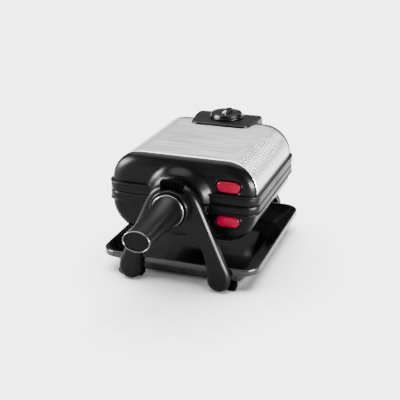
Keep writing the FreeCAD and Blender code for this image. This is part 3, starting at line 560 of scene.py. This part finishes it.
def arch_outline(top):
    """Counter-clockwise outline of a stand, as (x, z)."""
    hub_x, hub_z, arch_z = 40.0, SPLIT + 4, SPLIT - 35.0
    leg_x, leg_r, foot_z = 66.0, 16.5, 17.5
    out_x, in_x, knee_x, knee_z = leg_x + leg_r, leg_x - leg_r, leg_x + 5.5, foot_z + 34
    lean_x, lean_z = 0.2 * (knee_x - hub_x), 0.2 * (hub_z - knee_z)
    half = bezier([(0, arch_z), (0.74 * in_x, arch_z),
                   (in_x, foot_z + 0.49 * (arch_z - foot_z)), (in_x, foot_z)], 22)
    half += [(leg_x - leg_r * cos(pi * k / 20), foot_z - leg_r * sin(pi * k / 20))
             for k in range(20)]
    half += bezier([(out_x, foot_z), (out_x, foot_z + 14),
                    (knee_x + lean_x, knee_z - lean_z), (knee_x, knee_z)], 12)
    half += [(knee_x + (hub_x - knee_x) * k / 16, knee_z + (hub_z - knee_z) * k / 16)
             for k in range(16)]
    half += bezier([(hub_x, hub_z), (hub_x - lean_x, hub_z + lean_z),
                    (0.64 * hub_x, top), (0, top)], 20)
    return half + [(0, top)] + [(-x, z) for x, z in reversed(half[1:])]


def arch(top, y0, y1, front_r, back_r):
    """Stand plate with well-rounded edges."""
    front = [(-inset, front_r - rise) for inset, rise in reversed(rounding(front_r, 7))]
    back = [(-inset, y1 - y0 - back_r + rise) for inset, rise in rounding(back_r, 5)]
    track = flat_track(arch_outline(top), lambda u, v: at(u, y0, v), Y)
    return sweep(track, front + back)


def bore(r, y0, y1):
    """Round cutter along the turning axis."""
    return sweep(circle_track(at(0, 0, SPLIT), Y, 64), [(r, y0), (r, y1)])


def latch_slot(y_front, edge):
    low, high = (-LATCH_W, y_front, LATCH_Z), (LATCH_W, LATCH_BACK, SPLIT + 60)
    return soft_box(low, high, edge)


front_plate = arch(SPLIT + 32.0, STAND_FRONT, STAND_REAR, 7.2, 3.4)
front_arch = make_piece("front_arch", [front_plate], "front_stand", ("front_stand",), 40)
cut(front_arch, latch_slot(-160, 1.0))
cut(front_arch, bore(RING_BORE, -170, -138))
cut(front_arch, bore(19.0, -150, -120))
shade(front_arch.data, 40)


def tube(outer, inner, y_front, y_back, edge):
    """Round tube along y with a rounded front edge."""
    profile = [(inner, y_back), (inner, y_front + edge * 0.5), (inner + edge * 0.5, y_front)]
    profile += [(outer - inset, y_front + edge - rise)
                for inset, rise in reversed(rounding(edge, 5))]
    profile += [(outer, y_back)]
    return sweep(circle_track(at(0, 0, SPLIT), Y, 96), profile, True)


hub_tube = tube(HUB_R, RING_BORE, RING_FRONT, STAND_FRONT + 2.0, 2.0)
hub = make_piece("hub_ring", [hub_tube], "front_stand", (), 40)
cut(hub, latch_slot(-147.3, 0.5))
shade(hub.data, 40)

rear_low, rear_high = node_box("rear_stand")
rear_plate = arch(rear_high.z, rear_high.y - 13.0, rear_high.y, 3.0, 4.0)
rear_hub = tube(20.0, 14.0, rear_low.y, rear_high.y - 10.0, 1.0)
make_piece("rear_arch", [rear_plate, rear_hub], "rear_stand", ("rear_stand",), 40)

for end in ("front", "rear"):
    for hand in ("left", "right"):
        node = "heel_%s_%s" % (end, hand)
        make_piece(node + "_block", [soft_box(*node_box(node), 2.6, 4)], node, (node,), 40)


# ---------------------------------------------------------------- handle

HANDLE_ROOT, HANDLE_END, GRIP_W, GRIP_T = -160.0, -266.0, 18.6, 14.2


def grip_size(share):
    """Half width and half height along the grip, from the collar (0) to the end (1)."""
    flare = (1 - share) ** 2.6
    return GRIP_W + flare * (COLLAR_R - 1.5 - GRIP_W), GRIP_T + flare * (COLLAR_R - 1.6 - GRIP_T)


def oval(w, t, y, steps=72):
    turns = [2 * pi * k / steps for k in range(steps)]
    return [at(w * cos(a), y, SPLIT + t * sin(a)) for a in turns]


def grip():
    rows = []
    front = HANDLE_END + 1.7
    for k in range(29):
        share = k / 28
        w, t = grip_size(share)
        rows.append(oval(w, t, HANDLE_ROOT + (front - HANDLE_ROOT) * share))
    rows.append(oval(GRIP_W - 0.5, GRIP_T - 0.5, front - 0.1))
    return skin(rows)


def end_ring():
    rows = [oval(GRIP_W + o, GRIP_T + o, HANDLE_END + y) for o, y in (
        (-1.8, 4.2), (-0.3, 3.2), (0.0, 1.6), (0.05, 1.0), (-0.1, 0.45), (-0.4, 0.1), (-0.8, 0.0),
        (-1.2, 0.15), (-1.5, 0.6), (-1.8, 1.4))]
    return skin(rows, True, True)


def end_cap():
    rows = [oval(GRIP_W - 1.7 - o, GRIP_T - 1.7 - o, HANDLE_END + y) for o, y in (
        (0.0, 4.6), (0.0, 2.6), (0.4, 2.1), (1.2, 1.9), (4.0, 1.75), (8.5, 1.65))]
    return skin(rows)


make_piece("grip", [grip()], "handle_grip", ("handle_grip",), 50)
make_piece("grip_end_ring", [end_ring()], "handle_end_ring", ("handle_end_ring",), 60)
make_piece("grip_end_cap", [end_cap()], "handle_end_cap", ("handle_end_cap",), 50)
collar = tube(COLLAR_R, 12.0, HANDLE_ROOT, STAND_FRONT - 5.0, 1.6)
make_piece("collar_ring", [collar], "collar", ("collar",), 50)


# ---------------------------------------------------------------- turn lock button

def latch():
    low, high = node_box("latch_button")
    body = soft_box((low.x + 1.2, low.y + 1.4, low.z), (high.x - 1.2, high.y, high.z - 0.8), 1.6, 3)
    ribs = []
    for i in range(5):
        x = -9.2 + 4.6 * i
        ribs.append(soft_box((x - 1.3, low.y + 0.2, low.z + 1.6), (x + 1.3, low.y + 6, high.z),
                             0.9, 3))
    ears = [soft_box((x0, low.y, low.z + 0.6), (x0 + 3.6, low.y + 9, high.z - 0.2), 1.5, 4)
            for x0 in (low.x, high.x - 3.6)]
    return [body] + ribs + ears


make_piece("lock_button", latch(), "latch_button", ("latch_button",), 50)

# ---------------------------------------------------------------- dial

plate_low, plate_high = node_box("dial_plate")
DIAL_Y, PLATE_TOP = 104.0, plate_high.z
KNOB_FOOT = PLATE_TOP + 0.4


def dial_plate():
    """Plate under the dial: flared towards the back, rounded over its edge."""
    y0, y1, y2, wide = plate_low.y, SHELL_D, plate_high.y, plate_high.x
    corners = [(-45.0, y0), (45.0, y0), (wide, y1), (wide, y2), (-wide, y2), (-wide, y1)]
    outline = []
    for k, (cx, cy) in enumerate(corners):
        (px, py), (nx, ny) = corners[k - 1], corners[(k + 1) % len(corners)]
        back, ahead = hypot(px - cx, py - cy), hypot(nx - cx, ny - cy)
        r = 11.0
        start = (cx + (px - cx) * r / back, cy + (py - cy) * r / back)
        end = (cx + (nx - cx) * r / ahead, cy + (ny - cy) * r / ahead)
        for step in range(7):
            t = step / 6
            u = (1 - t) ** 2 * start[0] + 2 * t * (1 - t) * cx + t * t * end[0]
            v = (1 - t) ** 2 * start[1] + 2 * t * (1 - t) * cy + t * t * end[1]
            outline.append((u, v))
    track = flat_track(outline, lambda u, v: at(u, v, PLATE_TOP), Z)
    edge = [(0.0, -3.6), (0.0, -1.8)] + [(-inset, rise - 1.8) for inset, rise in rounding(1.8, 5)]
    return sweep(track, edge + [(-4.0, 0.0), (-4.3, -0.25), (-5.2, -0.25)])


make_piece("dial_base", [dial_plate()], "dial_plate", ("dial_plate",), 40)


def knob():
    """Round body with a dished top and a bar across it."""
    bottom = KNOB_FOOT
    round_part = circle_track(at(0, DIAL_Y, bottom), Z, 96)
    profile = [(25.2, 0.0), (25.9, 0.15), (26.2, 0.6), (26.2, 1.5), (25.9, 2.1), (25.4, 2.5),
               (25.1, 3.0), (24.3, 6.6), (24.0, 7.3), (23.4, 7.85), (22.6, 8.0), (21.8, 7.85),
               (21.3, 7.3), (20.9, 6.5), (20.3, 6.2), (18.0, 6.15)]
    bar = flat_track(pill(38.0, 10.0), lambda u, v: at(v, DIAL_Y + u, bottom), Z)
    bar_side = [(0.4, 5.8), (0.1, 6.6), (0.0, 9.2)]
    bar_edge = [(-inset, 9.2 + rise) for inset, rise in rounding(1.9, 5)]
    return [sweep(round_part, profile), sweep(bar, bar_side + bar_edge + [(-3.6, 11.15)])]


def knob_mark():
    """Pale strip on the front end of the bar."""
    bottom = KNOB_FOOT
    line = flat_track(pill(12.0, 3.4, 8), lambda u, v: at(v, DIAL_Y - 11.8 + u, bottom), Z)
    top = sweep(line, [(0, 10.6), (0, 11.25), (-0.25, 11.42), (-0.6, 11.45)])
    nose = soft_box((-1.9, DIAL_Y - 18.5, bottom + 6.6), (1.9, DIAL_Y - 15.5, bottom + 11.0),
                    0.9, 3)
    return [top, nose]


make_piece("dial_knob", knob(), "knob", ("knob",), 40)
make_piece("dial_mark", knob_mark(), "knob_pointer", ("knob_pointer",), 50)


# ---------------------------------------------------------------- drip tray

def tray():
    low, high = node_box("drip_tray")
    w, f, b, top = high.x, low.y, high.y, high.z
    floor_w, f_floor, b_floor, floor, under = 87.0, f + 22.4, b - 12.0, low.z + 1.8, low.z

    def ring(inset, z):
        corner = 24.0 - inset
        return [at(u, v, z) for u, v in round_rect(w - inset, f + inset, b - inset, corner, 10, 8)]

    def blend(share, z, grow=0.0):
        """Between the wall's top and the floor's edge."""
        t = 3.6
        ww = (w - t) + (floor_w - w + t) * share + grow
        ff = (f + t) + (f_floor - f - t) * share - grow
        bb = (b - t) + (b_floor - b + t) * share + grow
        return [at(u, v, z) for u, v in round_rect(ww, ff, bb, 20.4 - 7.0 * share, 10, 8)]

    rows = [blend(1.02, under, 1.0), blend(0.98, under + 0.3, 1.6)]
    rows += [blend(0.9, under + 2.6, 1.8), blend(0.05, top - 3.4, 1.8), ring(1.8, top - 3.0)]
    rows += [ring(1.8, top - 8.8), ring(1.5, top - 9.0), ring(0.3, top - 9.0), ring(0.0, top - 8.7)]
    rows += [ring(0.0, top - 1.5), ring(0.25, top - 0.7), ring(0.8, top - 0.15), ring(1.5, top),
             ring(2.3, top - 0.1), ring(2.9, top - 0.5), ring(3.3, top - 1.2)]
    rows += [blend(0.04, top - 3.0), blend(0.45, floor + 14.2), blend(0.84, floor + 4.3)]
    rows += [blend(0.93, floor + 1.5), blend(0.98, floor + 0.4), blend(1.03, floor),
             blend(1.12, floor)]
    return skin(rows)


make_piece("tray_body", [tray()], "drip_tray", ("drip_tray",), 34)


# ---------------------------------------------------------------- camera, light, floor

def add_box(name, place, aim, size, power, size_y):
    """Soft box that shows in reflections only; the sun lights the floor."""
    data = bpy.data.lights.new(name, "AREA")
    data.energy = power
    data.shape = "RECTANGLE"
    data.size = size
    data.size_y = size_y
    light = bpy.data.objects.new(name, data)
    scene.collection.objects.link(light)
    light.location = place
    light.rotation_euler = (Vector(aim) - Vector(place)).to_track_quat("-Z", "Y").to_euler()
    light.visible_diffuse = False


CAM_TURN, CAM_LIFT, CAM_ROLL = 18.9, 21.1, 0.3
CAM_TARGET = (0.0023, 0.0150, 0.0903)
CAM_DISTANCE, CAM_LENS = 1.277, 77.8


def build_camera():
    turn, lift = radians(CAM_TURN), radians(CAM_LIFT)
    out = Vector((sin(turn) * cos(lift), -cos(turn) * cos(lift), sin(lift)))
    data = bpy.data.cameras.new("camera")
    data.lens = CAM_LENS
    data.sensor_width = 36.0
    data.clip_end = 50.0
    camera = bpy.data.objects.new("camera", data)
    scene.collection.objects.link(camera)
    camera.location = Vector(CAM_TARGET) + out * CAM_DISTANCE
    camera.rotation_euler = (-out).to_track_quat("-Z", "Y").to_euler()
    camera.rotation_euler.rotate_axis("Z", radians(CAM_ROLL))
    scene.camera = camera


def build_floor():
    bpy.ops.mesh.primitive_plane_add(size=24.0, location=(0, 0, 0))
    floor = bpy.context.object
    floor.name = "floor"
    mat = new_material("floor", (0.94, 0.94, 0.94), 0.85)[0]
    floor.data.materials.append(mat)


def build_world():
    world = bpy.data.worlds.new("studio")
    world.use_nodes = True
    back = world.node_tree.nodes["Background"]
    back.inputs["Color"].default_value = (1, 1, 1, 1)
    back.inputs["Strength"].default_value = 0.30
    scene.world = world


def build_sun():
    data = bpy.data.lights.new("overhead", "SUN")
    data.energy = 15.0
    data.angle = radians(75)
    sun = bpy.data.objects.new("overhead", data)
    scene.collection.objects.link(sun)
    sun.rotation_euler = (radians(-14), radians(-8), 0)


build_camera()
build_floor()
build_world()
build_sun()
add_box("left_box", (-1.44, -0.78, 0.58), (0, -0.05, 0.14), 1.0, 330, 0.45)
add_box("right_box", (1.45, -0.50, 0.32), (0, -0.08, 0.10), 1.1, 430, 0.24)
add_box("back_card", (0.9, 1.8, 1.0), (0, 0, 0.15), 0.6, 12, 0.6)
